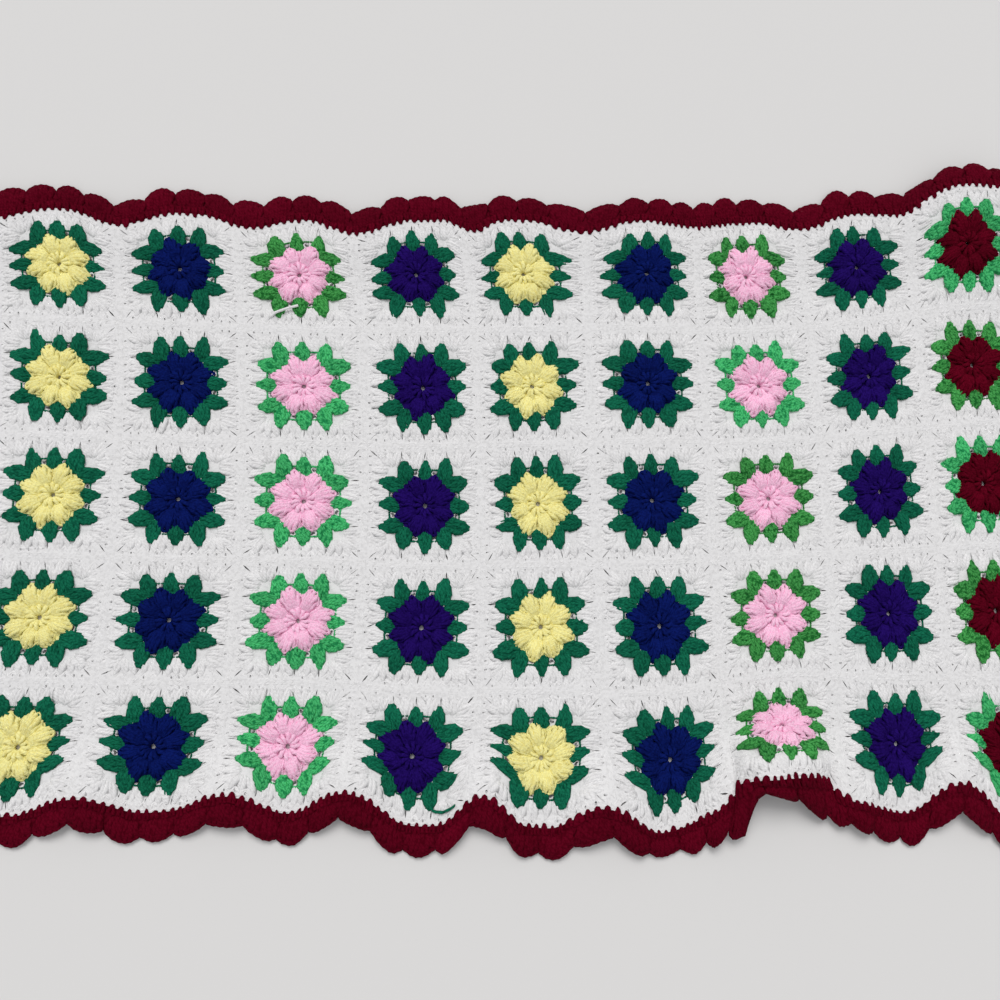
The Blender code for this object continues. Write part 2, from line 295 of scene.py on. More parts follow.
relief = maths(yarn_surface, "MULTIPLY_ADD", lumps.outputs["Fac"], LUMP_SHARE, fuzz)
# Painted shade: the crease colour darkens the hollows between the plies, where shade falls
crease = new_node(yarn_surface, "ShaderNodeMapRange", Value=ply)
crease.inputs["From Max"].default_value = CREASE
# Painted shade: the low places of the lumps are darkened to the crease colour as well
low_place_shade = new_node(yarn_surface, "ShaderNodeMapRange", Value=lumps.outputs["Fac"])
low_place_shade.inputs["From Min"].default_value, low_place_shade.inputs["From Max"].default_value = LOW_PLACE_SHADE
shade = yarn_surface.nodes.new("ShaderNodeMix")
shade.data_type = "RGBA"
yarn_surface.links.new(
    maths(yarn_surface, "MULTIPLY", crease.outputs["Result"], low_place_shade.outputs["Result"]),
    shade.inputs[0])
yarn_surface.links.new(given.outputs["Crease Colour"], shade.inputs[6])
yarn_surface.links.new(given.outputs["Colour"], shade.inputs[7])
uneven = maths(yarn_surface, "ADD", attribute(yarn_surface, "tone", "Fac"),
               blotches.outputs["Fac"])
lightness = maths(yarn_surface, "MULTIPLY_ADD", maths(yarn_surface, "SUBTRACT", uneven, 1.0),
                  given.outputs["Mottle"], 1.0)
tinted = new_node(yarn_surface, "ShaderNodeHueSaturation", Value=lightness,
                  Color=shade.outputs[2])
yarn_surface.links.new(tinted.outputs["Color"], result.inputs["Colour"])
yarn_surface.links.new(maths(yarn_surface, "MULTIPLY_ADD", fibres.outputs["Fac"], 0.2, 0.72),
                       result.inputs["Roughness"])
yarn_surface.links.new(relief, result.inputs["Height"])

YARN_COLOURS = {
    # colour, painted crease shade between the plies, mottle, sheen, gloss
    "white": ((0.79, 0.78, 0.78), (0.72, 0.71, 0.71), 0.08, 0.08, 0.12),
    "yellow": ((0.90, 0.84, 0.36), (0.82, 0.73, 0.26), 0.08, 0.08, 0.12),
    "pink": ((0.96, 0.58, 0.76), (0.90, 0.47, 0.66), 0.10, 0.08, 0.12),
    "navy": ((0.003, 0.010, 0.108), (0.002, 0.006, 0.072), 0.25, 0.0, 0.03),
    "purple": ((0.016, 0.004, 0.115), (0.010, 0.002, 0.078), 0.25, 0.0, 0.03),
    "dark_red": ((0.106, 0.001, 0.010), (0.074, 0.000, 0.006), 0.25, 0.0, 0.03),
    "deep_green": ((0.006, 0.140, 0.074), (0.002, 0.078, 0.042), 0.24, 0.0, 0.06),
    "mid_green": ((0.062, 0.330, 0.078), (0.010, 0.130, 0.022), 0.28, 0.02, 0.08),
    "bright_green": ((0.070, 0.500, 0.170), (0.012, 0.230, 0.070), 0.28, 0.02, 0.08),
}
PLY_DEPTH = 0.00035

yarns = {}
for colour, (face, crease_shade, mottle, sheen, gloss) in YARN_COLOURS.items():
    yarn = bpy.data.materials.new(f"{colour} yarn")
    yarn.use_nodes = True
    tree = yarn.node_tree
    surface = tree.nodes["Principled BSDF"]
    group = tree.nodes.new("ShaderNodeGroup")
    group.node_tree = yarn_surface
    group.inputs["Colour"].default_value = (*face, 1.0)
    group.inputs["Crease Colour"].default_value = (*crease_shade, 1.0)
    group.inputs["Mottle"].default_value = mottle
    bump = new_node(tree, "ShaderNodeBump", Height=group.outputs["Height"],
                    Strength=0.55, Distance=PLY_DEPTH)
    tree.links.new(group.outputs["Colour"], surface.inputs["Base Color"])
    tree.links.new(group.outputs["Roughness"], surface.inputs["Roughness"])
    tree.links.new(bump.outputs["Normal"], surface.inputs["Normal"])
    surface.inputs["Specular IOR Level"].default_value = gloss
    surface.inputs["Sheen Weight"].default_value = sheen
    surface.inputs["Sheen Roughness"].default_value = 0.6
    yarn.diffuse_color = (*face, 1.0)
    yarns[colour] = yarn

# Stitches are repeated by one tree. A pattern is a mesh of lines, each the middle of a strand,
# with its girth at every point. The tree gives the strands their round body, sets the pattern at
# every point of a layout, turned and sized as that point says, and makes no two quite alike.
stitches = bpy.data.node_groups.new("stitches", "GeometryNodeTree")
for name, kind in (("Layout", "NodeSocketGeometry"), ("Pattern", "NodeSocketObject"),
                   ("Sides", "NodeSocketInt"), ("Unevenness", "NodeSocketFloat"),
                   ("Seed", "NodeSocketInt"), ("Yarn", "NodeSocketMaterial")):
    stitches.interface.new_socket(name, in_out="INPUT", socket_type=kind)
stitches.interface.new_socket("Stitches", in_out="OUTPUT", socket_type="NodeSocketGeometry")
given = stitches.nodes.new("NodeGroupInput")
result = stitches.nodes.new("NodeGroupOutput")


def own_value(name, kind):
    """A named attribute that the layout or the pattern carries."""
    node = stitches.nodes.new("GeometryNodeInputNamedAttribute")
    node.data_type = kind
    node.inputs["Name"].default_value = name
    return node.outputs["Attribute"]


def keep_value(geometry, name, kind, domain, value):
    """Stores a value on the geometry under a name that the yarn's material reads."""
    node = stitches.nodes.new("GeometryNodeStoreNamedAttribute")
    node.data_type = kind
    node.domain = domain
    node.inputs["Name"].default_value = name
    stitches.links.new(geometry, node.inputs["Geometry"])
    stitches.links.new(value, node.inputs["Value"])
    return node.outputs["Geometry"]


pattern = new_node(stitches, "GeometryNodeObjectInfo", Object=given.outputs["Pattern"])
line = new_node(stitches, "GeometryNodeMeshToCurve", Mesh=pattern.outputs["Geometry"])
length = stitches.nodes.new("GeometryNodeSplineParameter")
line = keep_value(line.outputs["Curve"], "along", "FLOAT", "POINT", length.outputs["Length"])
profile = new_node(stitches, "GeometryNodeCurvePrimitiveCircle", Resolution=given.outputs["Sides"])
profile.inputs["Radius"].default_value = 1.0
where = stitches.nodes.new("GeometryNodeInputPosition")
profile = keep_value(profile.outputs["Curve"], "round", "FLOAT_VECTOR", "POINT",
                     where.outputs["Position"])
strand = new_node(stitches, "GeometryNodeCurveToMesh", Curve=line, Profile_Curve=profile,
                  Scale=own_value("girth", "FLOAT"), Fill_Caps=True)
strand = new_node(stitches, "GeometryNodeSetShadeSmooth", Geometry=strand.outputs["Mesh"])
set_out = new_node(stitches, "GeometryNodeInstanceOnPoints", Points=given.outputs["Layout"],
                   Instance=strand.outputs["Geometry"])
heading = new_node(stitches, "ShaderNodeCombineXYZ", Z=own_value("turn", "FLOAT"))
turned = new_node(stitches, "FunctionNodeEulerToRotation", Euler=heading.outputs["Vector"])
stitches.links.new(turned.outputs["Rotation"], set_out.inputs["Rotation"])
stitches.links.new(own_value("size", "FLOAT_VECTOR"), set_out.inputs["Scale"])
chance = new_node(stitches, "FunctionNodeRandomValue", Seed=given.outputs["Seed"])
toned = keep_value(set_out.outputs["Instances"], "tone", "FLOAT", "INSTANCE", chance.outputs[1])
made = new_node(stitches, "GeometryNodeRealizeInstances", Geometry=toned)
drift = new_node(stitches, "ShaderNodeTexNoise", Scale=0.09, Detail=1.0)
sway = stitches.nodes.new("ShaderNodeVectorMath")
sway.operation = "SUBTRACT"
stitches.links.new(drift.outputs["Color"], sway.inputs[0])
sway.inputs[1].default_value = (0.5, 0.5, 0.5)
swayed = stitches.nodes.new("ShaderNodeVectorMath")
swayed.operation = "SCALE"
stitches.links.new(sway.outputs["Vector"], swayed.inputs[0])
stitches.links.new(given.outputs["Unevenness"], swayed.inputs["Scale"])
moved = new_node(stitches, "GeometryNodeSetPosition", Geometry=made.outputs["Geometry"],
                 Offset=swayed.outputs["Vector"])
dyed = new_node(stitches, "GeometryNodeSetMaterial", Geometry=moved.outputs["Geometry"],
                Material=given.outputs["Yarn"])
stitches.links.new(dyed.outputs["Geometry"], result.inputs["Stitches"])


def strand_lines(strands):
    """An object of lines from strands, each a list of (x, y, height, girth) in millimetres."""
    points, edges, girths = [], [], []
    for strand_points in strands:
        first = len(points)
        for x, y, height, girth in strand_points:
            points.append((x, y, height))
            girths.append(girth)
        edges += [(first + i, first + i + 1) for i in range(len(strand_points) - 1)]
    mesh = bpy.data.meshes.new("pattern")
    mesh.from_pydata(points, edges, [])
    mesh.attributes.new("girth", "FLOAT", "POINT").data.foreach_set("value", girths)
    lines = bpy.data.objects.new("pattern", mesh)
    bpy.context.scene.collection.objects.link(lines)
    return lines


def crochet(name, strands, layout, colour, sides=5, unevenness=1.0, seed=1):
    """A piece of like stitches: the pattern at each place of the layout, laid on the cloth.
    A place is (x, y, height, turn, size x, size y, size z), with its turn in radians."""
    places = np.array(layout, dtype=float)
    points = bpy.data.meshes.new("layout")
    points.from_pydata(places[:, :3].tolist(), [], [])
    points.attributes.new("turn", "FLOAT", "POINT").data.foreach_set("value", places[:, 3])
    sizes = points.attributes.new("size", "FLOAT_VECTOR", "POINT")
    sizes.data.foreach_set("vector", places[:, 4:7].ravel())
    setting = bpy.data.objects.new("layout", points)
    bpy.context.scene.collection.objects.link(setting)
    lines = strand_lines(strands)
    work = setting.modifiers.new("stitches", "NODES")
    work.node_group = stitches
    values = {"Pattern": lines, "Sides": sides, "Unevenness": unevenness, "Seed": seed,
              "Yarn": yarns[colour]}
    for item in stitches.interface.items_tree:
        if item.in_out == "INPUT" and item.name in values:
            work[item.identifier] = values[item.name]
    setting.update_tag()
    bpy.context.view_layer.update()
    graph = bpy.context.evaluated_depsgraph_get()
    mesh = bpy.data.meshes.new_from_object(setting.evaluated_get(graph))
    mesh.name = name
    for helper in (setting, lines):
        bpy.data.objects.remove(helper, do_unlink=True)
    flat = np.empty(len(mesh.vertices) * 3)
    mesh.vertices.foreach_get("co", flat)
    mesh.vertices.foreach_set("co", lay(flat.reshape(-1, 3)).ravel())
    along = mesh.attributes["along"]
    lengths = np.empty(len(along.data))
    along.data.foreach_get("value", lengths)
    along.data.foreach_set("value", lengths * MM)
    mesh.update()
    piece = bpy.data.objects.new(name, mesh)
    bpy.context.scene.collection.objects.link(piece)
    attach(piece, "root")
    return piece


def turned_point(x, y, turn):
    """A point turned about the origin."""
    return np.array([
        x * math.cos(turn) - y * math.sin(turn),
        x * math.sin(turn) + y * math.cos(turn),
    ])


def braid(path, spread, step, start=0.0):
    """Two strands wound round a path of (x, y, height, girth), as the yarns of a tall stitch are.
    They stand spread from it and turn by step, in radians, from each point to the next."""
    path = np.array(path, dtype=float)
    run = np.gradient(path[:, :2], axis=0)
    sideways = np.stack([-run[:, 1], run[:, 0]], axis=1)
    sideways /= np.linalg.norm(sideways, axis=1)[:, None]
    strands = []
    for first in (start, start + math.pi):
        turn = first + step * np.arange(len(path))
        strand = path.copy()
        width = spread * path[:, 3]
        strand[:, :2] += sideways * (width * np.cos(turn))[:, None]
        strand[:, 2] += 0.30 * width * np.sin(turn)
        strands.append(strand)
    return strands


chance_of_hand = np.random.default_rng(7)

# --------------------------------------
# The petals. Each flower has eight, and each petal is a cushion of five tall stitches that swell
# up from the middle round and turn down at the rim, closed by a row of loops along the rim.
# --------------------------------------
PETALS = 8
PETAL_ROOT = 9.5               # how far from the flower's middle a petal starts
PETAL_FAN = math.radians(7.7)  # from one tall stitch of a petal to the next
PETAL_TIPS = (23.8, 28.3, 29.3, 28.3, 23.8)
PETAL_DOME = (0.74, 0.94, 1.0, 0.94, 0.74)     # each stitch's height, as a share
RIM_POINTS = 13
RIM_END = 20.5                 # where the row of loops starts and ends
PETAL_STATIONS = (
    # share of the way out, height, girth
    (0.00, 4.2, 1.60),
    (0.24, 7.2, 1.85),
    (0.54, 8.9, 2.05),
    (0.82, 8.1, 2.00),
    (1.00, 5.4, 1.55),
)

petal = []
for post, (tip, dome) in enumerate(zip(PETAL_TIPS, PETAL_DOME)):
    angle = (post - 2) * PETAL_FAN
    path = []
    for share, height, girth in PETAL_STATIONS:
        reach = PETAL_ROOT + share * (tip - PETAL_ROOT)
        path.append((reach * math.cos(angle), reach * math.sin(angle), height * dome, girth))
    petal += braid(path, 0.45, 1.75, start=post * 1.1)
rim = []
for number in range(RIM_POINTS):
    place = number / 2.0 - 1.0
    angle = (place - 2.0) * PETAL_FAN
    reach = np.interp(place, range(-1, 6), (RIM_END, *PETAL_TIPS, RIM_END)) + 0.6
    swell = number % 2
    reach += 0.5 * swell
    rim.append((reach * math.cos(angle), reach * math.sin(angle),
                5.2 - 0.28 * abs(place - 2.0), 1.35 + 0.35 * swell))
petal.append(rim)

for colour in sorted(set(COLUMN_FLOWERS)):
    layout = []
    for column, row in SQUARES:
        if COLUMN_FLOWERS[column] != colour:
            continue
        x, y = square_middle(column, row)
        spin = chance_of_hand.normal(0.0, math.radians(5.0))
        for number in range(PETALS):
            turn = (number + 0.5) * 2.0 * math.pi / PETALS + spin
            turn += chance_of_hand.normal(0.0, math.radians(2.4))
            size = chance_of_hand.uniform(0.92, 1.06)
            layout.append((x, y, 0.0, turn, size, size, chance_of_hand.normal(1.0, 0.06)))
    crochet(f"petals_{colour}", petal, layout, colour, sides=4, unevenness=3.5, seed=11)

# --------------------------------------
# The flower's middle round: twelve short stitches worked over a small ring, with an open hole.
# --------------------------------------
MIDDLE_STITCHES = 12
middle_stitch = [[(2.9, -0.3, 3.4, 1.2), (4.4, 0.4, 5.6, 1.7), (7.0, -0.5, 6.2, 2.3),
                  (9.6, 0.5, 5.8, 2.5), (11.8, 0.0, 4.6, 2.0)]]
for colour in sorted(set(COLUMN_FLOWERS)):
    layout = []
    for column, row in SQUARES:
        if COLUMN_FLOWERS[column] != colour:
            continue
        x, y = square_middle(column, row)
        for number in range(MIDDLE_STITCHES):
            turn = number * 2.0 * math.pi / MIDDLE_STITCHES
            turn += chance_of_hand.normal(0.0, math.radians(3.0))
            size = chance_of_hand.normal(1.0, 0.08)
            layout.append((x, y, 0.0, turn, size, size, chance_of_hand.normal(1.0, 0.06)))
    crochet(f"middle_{colour}", middle_stitch, layout, colour, unevenness=2.0, seed=12)

# --------------------------------------
# The leaves: twelve clusters round each flower, three on each side. Three tall stitches start
# side by side under the petals, swell, and are drawn together in one pointed top. A short chain
# joins each leaf to the next along a side.
# --------------------------------------
LEAF_LENGTH = 18.0
LEAF_STATIONS = (
    # share of the length, half width, height, girth
    (0.00, 2.6, 3.4, 1.7),
    (0.22, 4.1, 4.6, 2.3),
    (0.46, 4.5, 5.2, 2.4),
    (0.70, 2.9, 5.3, 2.1),
    (0.87, 1.7, 5.2, 1.7),
    (1.00, 0.5, 5.0, 1.2),
)
SIDE_LEAVES = (
    # root x, root y, turn in degrees, length as a share
    (24.0, 0.0, 0.0, 1.00),
    (20.5, 17.4, 9.0, 1.20),
    (20.5, -17.4, -9.0, 1.20),
)
CHAIN_REACH = 32.6
CHAIN_PLACES = (10.8, -10.8)   # along a side

leaf = []
for post in (-1.0, 0.0, 1.0):
    leaf += braid([
        (share * LEAF_LENGTH, post * half, height + 0.3 * (1.0 - abs(post)), girth)
        for share, half, height, girth in LEAF_STATIONS
    ], 0.62, 1.7, start=post * 1.3)
chain = [[(0.6, -5.2, 4.8, 0.8), (0.0, 0.0, 5.5, 0.9), (0.6, 5.2, 4.8, 0.8)]]

for green in ("deep_green", "mid_green", "bright_green"):
    layout, chain_layout = [], []
    for column, row in SQUARES:
        if leaf_green(column, row) != green:
            continue
        centre = square_middle(column, row)
        for side in range(4):
            quarter = side * math.pi / 2.0
            for root_x, root_y, lean, share in SIDE_LEAVES:
                x, y = centre + turned_point(root_x, root_y, quarter)
                turn = quarter + math.radians(lean) + chance_of_hand.normal(0.0, 0.06)
                length, width = chance_of_hand.normal(1.0, 0.05, 2)
                width *= 1.0 + 0.08 * (root_y != 0.0)
                layout.append((x, y, 0.0, turn, share * length, width, width))
            for place in CHAIN_PLACES:
                x, y = centre + turned_point(CHAIN_REACH, place, quarter)
                chain_layout.append((x, y, 0.0, quarter, 1.0, 1.0, 1.0))
    crochet(f"leaves_{green}", leaf, layout, green, sides=4, unevenness=2.5, seed=13)
    crochet(f"chains_{green}", chain, chain_layout, green, sides=4, seed=20)

# --------------------------------------
# The first white round: sixteen groups of three tall stitches, one in each space between two
# leaves of a side and two at each corner, with one wide stitch between those two. Their feet make
# a round lobe that shows between the leaves.
# --------------------------------------
POST_LENGTH = 13.0
TOP_LINE = 48.6                # how far out all the tops are
GROUPS = (
    # foot x, foot y, then the y of the three tops, all on the side that faces +x
    (31.6, 10.8, 4.0, 10.8, 17.6),
    (31.6, -10.8, -4.0, -10.8, -17.6),
    (34.6, 30.6, 24.8, 33.0, 41.6),
    (34.6, -30.6, -24.8, -33.0, -41.6),
)
FOOT_SPREAD = 0.52             # how far apart the feet of a group are, as a share of its tops
OUTER_FEET = 0.9               # how much farther out the first and last of them are
CORNER_POST = (34.5, 43.0)     # from and to, along both sides
CORNER_WIDTH = 1.5
GROUP_FLAT = 0.70              # how thick a strand lies, as a share of its width
white_post = braid([(0.0, 0.0, 4.0, 2.0), (1.6, 0.0, 5.7, 2.6), (5.2, 0.0, 6.3, 2.9),
                    (9.2, 0.0, 6.2, 2.8), (13.0, 0.0, 5.6, 2.3)], 0.60, 0.55, start=-0.9)
layout = []
for column, row in SQUARES:
    centre = square_middle(column, row)
    for side in range(4):
        quarter = side * math.pi / 2.0
        posts = []
        for foot_x, foot_y, *tops in GROUPS:
            for number, top_y in enumerate(tops):
                posts.append((foot_x + OUTER_FEET * abs(number - 1),
                              foot_y + (top_y - foot_y) * FOOT_SPREAD, TOP_LINE, top_y, 1.0))
        posts.append((CORNER_POST[0], CORNER_POST[0], CORNER_POST[1], CORNER_POST[1],
                      CORNER_WIDTH))
        for start_x, start_y, end_x, end_y, width in posts:
            run = np.array([end_x - start_x, end_y - start_y])
            turn = quarter + math.atan2(run[1], run[0]) + chance_of_hand.normal(0.0, 0.04)
            x, y = centre + turned_point(start_x, start_y, quarter)
            share = np.linalg.norm(run) / POST_LENGTH
            layout.append((x, y, 0.0, turn, share, width * chance_of_hand.normal(1.0, 0.06),
                           GROUP_FLAT * chance_of_hand.normal(1.0, 0.05)))
crochet("white_groups", white_post, layout, "white", sides=4, unevenness=2.0, seed=14)

# --------------------------------------
# The outer white round: fifteen short stitches along each side of a square. Each is a V over the
# top of the first white round, with a flat loop for its own top.
# --------------------------------------
EDGE_STITCHES = 15
EDGE_STEP = PITCH / EDGE_STITCHES
SHORT_REACH = 47.2             # how far out the short stitches and the loops are
LOOP_REACH = 53.1
SHORT_END = 50.0               # there are no short stitches past this, at the corners
EDGE_FLAT = 0.62               # how thick a strand lies, as a share of its width
LEAF_STITCHES = (4, 7, 10)     # those at a leaf's tip, and how many of them are skipped
SKIPPED_SHARE = 0.7
OPEN_SHARE = 0.6               # of the short stitches that leave a pinhole between their legs
OPEN_WIDTH = 1.35              # how much wider those are
PINHOLE_OUT = 3.2              # from the short stitch to its pinhole

short_stitch = [
    [(4.9, -2.3, 6.4, 2.0), (2.4, -1.7, 7.3, 2.2), (-0.7, -0.1, 6.8, 2.1), (2.4, 1.6, 7.3, 2.2),
     (4.9, 2.3, 6.4, 2.0)],
]
flat_loop = [
    [(-0.5, -3.9, 6.4, 2.0), (0.2, -1.3, 7.2, 2.2), (-0.1, 1.5, 7.3, 2.2), (0.5, 3.9, 6.4, 2.0)],
]
short_layout, loop_layout = [], []
pinhole_places = {}
for column, row in SQUARES:
    centre = square_middle(column, row)
    pinhole_places[column, row] = []
    for side in range(4):
        quarter = side * math.pi / 2.0
        for number in range(EDGE_STITCHES):
            along_side = (number + 0.5) * EDGE_STEP - PITCH / 2.0
            size = chance_of_hand.normal(1.0, 0.10)
            wobble = chance_of_hand.normal(0.0, 0.14)
            along_side += chance_of_hand.normal(0.0, 0.4)
            skipped = number in LEAF_STITCHES and chance_of_hand.random() < SKIPPED_SHARE
            if abs(along_side) < SHORT_END and not skipped:
                x, y = centre + turned_point(SHORT_REACH, along_side, quarter)
                spread = size
                if chance_of_hand.random() < OPEN_SHARE:
                    spread *= OPEN_WIDTH
                    pinhole_places[column, row].append(
                        turned_point(SHORT_REACH + PINHOLE_OUT, along_side, quarter))
                short_layout.append((x, y, 0.0, quarter + wobble, size, spread, EDGE_FLAT))
            x, y = centre + turned_point(LOOP_REACH, along_side, quarter)
            loop_layout.append((x, y, 0.0, quarter + wobble, size, size, EDGE_FLAT))
crochet("white_edge", short_stitch, short_layout, "white", sides=4, unevenness=1.5, seed=15)
crochet("white_loops", flat_loop, loop_layout, "white", sides=4, unevenness=1.5, seed=16)

# --------------------------------------
# The seams: the squares are joined flat with the same white yarn, which shows as a faint line of
# small slanted stitches between two squares.
# --------------------------------------
seam_stitch = [
    [(0.8, -1.7, 4.4, 0.9), (2.2, -0.7, 4.8, 1.1), (3.6, 0.7, 4.8, 1.1), (4.8, 1.7, 4.4, 0.9)],
]
layout = []
for line in range(1, COLUMNS):
    x = (line - COLUMNS / 2.0) * PITCH
    for number in range(ROWS * EDGE_STITCHES):
        y = number * EDGE_STEP - ROWS * PITCH / 2.0
        layout.append((x, y, 0.0, math.pi / 2.0 + chance_of_hand.normal(0.0, 0.06),
                       1.0, 1.0, 1.0))
for line in range(1, ROWS):
    y = (line - ROWS / 2.0) * PITCH
    for number in range(COLUMNS * EDGE_STITCHES):
        x = number * EDGE_STEP - COLUMNS * PITCH / 2.0
        layout.append((x, y, 0.0, chance_of_hand.normal(0.0, 0.06), 1.0, 1.0, 1.0))
crochet("seams", seam_stitch, layout, "white", sides=4, unevenness=1.5, seed=17)

# --------------------------------------
# Two loose ends of yarn, left lying on the squares where they were worked in: a white one and a
# green one.
# --------------------------------------
LOOSE_ENDS = (
    # name, colour, column, row, then its course from the square's middle as x, y and height
    ("white_end", "white", 3, 1, ((-28.0, -43.0, 6.0), (-23.0, -40.0, 9.0), (-12.0, -35.5, 9.5),
                                  (-2.0, -32.5, 9.5))),
    ("green_end", "deep_green", 4, 5, ((22.0, -42.0, 6.0), (25.5, -43.2, 7.5), (32.5, -45.0, 7.5),
                                       (39.5, -46.6, 7.2), (43.0, -47.2, 6.5))),
)
LOOSE_GIRTH = 1.3
for name, colour, column, row, course in LOOSE_ENDS:
    place = (*square_middle(column, row), 0.0, 0.0, 1.0, 1.0, 1.0)
    loose = [[(*point, LOOSE_GIRTH) for point in course]]
    crochet(name, loose, [place], colour, sides=6, seed=21)

# --------------------------------------
# The border's first row: dark red short stitches worked into the white edge. Their feet bite into
# the white as a row of teeth, and their tops lie along the edge as a row of loops.
# --------------------------------------
TEETH = 4                      # for each scallop
SCALLOPS = 4                   # for each side of a square
SCALLOP_WIDTH = PITCH / SCALLOPS
BORDER_SIDES = (
    # which way the side faces, in degrees, how many squares long, how far out it is
    (-90.0, COLUMNS, ROWS * PITCH / 2.0),
    (0.0, ROWS, COLUMNS * PITCH / 2.0),
    (90.0, COLUMNS, ROWS * PITCH / 2.0),
    (180.0, ROWS, COLUMNS * PITCH / 2.0),
)
tooth = [
    [(-2.0, -0.2, 5.0, 1.3), (-0.6, -0.4, 6.2, 1.7), (2.0, -1.3, 5.6, 1.9), (5.4, -1.8, 5.0, 2.1)],
    [(-1.5, 0.4, 5.2, 1.3), (0.0, 0.6, 6.0, 1.6), (2.2, 1.4, 5.6, 1.9), (5.6, 1.8, 5.0, 2.1)],
    [(4.6, -3.8, 3.6, 1.7), (5.6, -1.2, 4.4, 2.1), (5.2, 1.4, 4.4, 2.1), (6.0, 3.8, 3.6, 1.7)],
]
layout = []
for facing, squares, out in BORDER_SIDES:
    facing = math.radians(facing)
    count = squares * SCALLOPS * TEETH
    for number in range(count):
        sideways = (number + 0.5) * SCALLOP_WIDTH / TEETH - squares * PITCH / 2.0
        x, y = turned_point(out + chance_of_hand.normal(0.0, 0.5), sideways, facing)
        layout.append((x, y, 0.0, facing + chance_of_hand.normal(0.0, 0.12),
                       chance_of_hand.normal(1.0, 0.10), chance_of_hand.normal(1.0, 0.12), 1.0))
crochet("border_teeth", tooth, layout, "dark_red", unevenness=1.5, seed=18)

# --------------------------------------
# The border's shells: a fan of six tall stitches for each scallop, with a row of loops along the
# rim. They stand proud and round.
# --------------------------------------
SHELL_POSTS = 6
SHELL_FOOT = 6.0               # how far out the feet are
SHELL_FEET, SHELL_TOPS, RIM_ENDS = 11.0, 13.4, 13.9    # half their widths along the edge
NOTCH_REACH = 16.0
SCALLOP_RISE = 7.4
SHELL_FLAT = 0.72              # how thick a shell lies, as a share of its pattern
CORNER_SHELLS = (30.0, 62.0)   # the turns of the two shells at a corner of the blanket
CORNER_SHELL_SIZE = (1.05, 0.75)
SHELL_STATIONS = (
    # share of the way out, height before it is flattened, girth
    (0.00, 6.2, 2.2),
    (0.33, 8.0, 2.7),
    (0.70, 8.3, 2.9),
    (1.00, 5.4, 2.3),
)


def scallop_reach(place):
    """How far out the rim of a shell is, from -1 at one notch to 1 at the next."""
    return NOTCH_REACH + SCALLOP_RISE * (1.0 - min(1.0, place * place)) ** 0.75


shell = []
for post in range(SHELL_POSTS):
    place = (post + 0.5) * 2.0 / SHELL_POSTS - 1.0
    foot = np.array([SHELL_FOOT, place * SHELL_FEET])
    top = np.array([scallop_reach(place), place * SHELL_TOPS])
    path = [(*(foot + (top - foot) * share), height - 1.6 * place * place, girth)
            for share, height, girth in SHELL_STATIONS]
    shell += braid(path, 0.50, 1.5, start=post * 1.1)
rim = []
for number in range(RIM_POINTS):
    place = number * 2.0 / (RIM_POINTS - 1) - 1.0
    swell = number % 2
    rim.append((scallop_reach(place) + 0.9 + 0.3 * swell, place * RIM_ENDS,
                5.0 - 0.8 * place * place, 1.8 + 0.3 * swell))
shell.append(rim)
layout = []
for facing, squares, out in BORDER_SIDES:
    facing = math.radians(facing)
    for number in range(squares * SCALLOPS):
        sideways = (number + 0.5) * SCALLOP_WIDTH - squares * PITCH / 2.0
        x, y = turned_point(out, sideways, facing)
        layout.append((x, y, 0.0, facing + chance_of_hand.normal(0.0, 0.04),
                       chance_of_hand.normal(1.0, 0.04), chance_of_hand.normal(1.0, 0.03),
                       SHELL_FLAT))
    for turn in CORNER_SHELLS:
        x, y = turned_point(out, squares * PITCH / 2.0, facing)
        layout.append((x, y, 0.0, facing + math.radians(turn), *CORNER_SHELL_SIZE, SHELL_FLAT))
shells = crochet("border_shells", shell, layout, "dark_red", unevenness=2.5, seed=19)
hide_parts("border")

# --------------------------------------
# The ground: the crocheted fabric that carries it all, as a thin sheet behind the stitches. Each
# square has its middle hole, eight open gaps just outside the petals, and the slits and pinholes
# between the white stitches.
# --------------------------------------
GROUND_LOW = 1.0               # height of the under face
GROUND_HEIGHTS = (
    # from the square's middle, height of the upper face
    (0.0, 3.4),
    (10.0, 5.0),
    (20.0, 4.8),
    (26.0, 4.0),
    (30.0, 4.9),
    (35.0, 4.9),
    (39.5, 4.5),
    (55.0, 5.5),
)
RIDGES = ((12, 10.0), (16, 20.0), (24, 27.0))  # round edges in the sheet: points and distance
LAST_RIDGE = 39.5
BORDER_GROUND = 18.0           # how far it reaches under the border
CORNER_GROUND = 0.75           # and how much of that at a corner
FLOWER_GROUND = 25.0           # the ground is in the flower's yarn up to here, then in the leaves'
LEAF_GROUND = 33.5
MIDDLE_HOLE = 2.3              # from its middle to its rim
GAP_TURNS = (17.0, -17.0)      # the gaps' places round the flower, on the side that faces +x
GAP_REACH = 31.6               # how far out they are
GAP_SIZE = 4.8
GAP_SECTOR = 9.5               # the ground there is white, this many degrees to each side
EDGE_CUTS = 15                 # straight runs along one side of a square
PINHOLE_SIZE = (2.4, 1.5)      # an opening between stitches, along the stitch and across it
SLIT_LENGTH = 8.0
CORNER_SLIT_LENGTH = 9.6
SLIT_WIDTH = 1.2
SLIT_SHARE = 0.8               # of the places below that have a slit
SLIT_PLACES = (
    # a slit's middle and its turn in degrees, on the side that faces +x
    (45.8, 0.0, 0.0),
    (46.0, 21.2, 4.0),
    (46.0, -21.2, -4.0),
)
CORNER_SLIT = 47.0             # and one toward each corner, this far along both sides
CUTS_APART = 0.8               # the least room between two openings, and to the square's edge
EDGE_ROOM = 0.3


def circle(count, radius, start=0.0):
    """Points evenly round a circle."""
    angles = start + np.arange(count) * 2.0 * math.pi / count
    return np.stack([radius * np.cos(angles), radius * np.sin(angles)], axis=1)


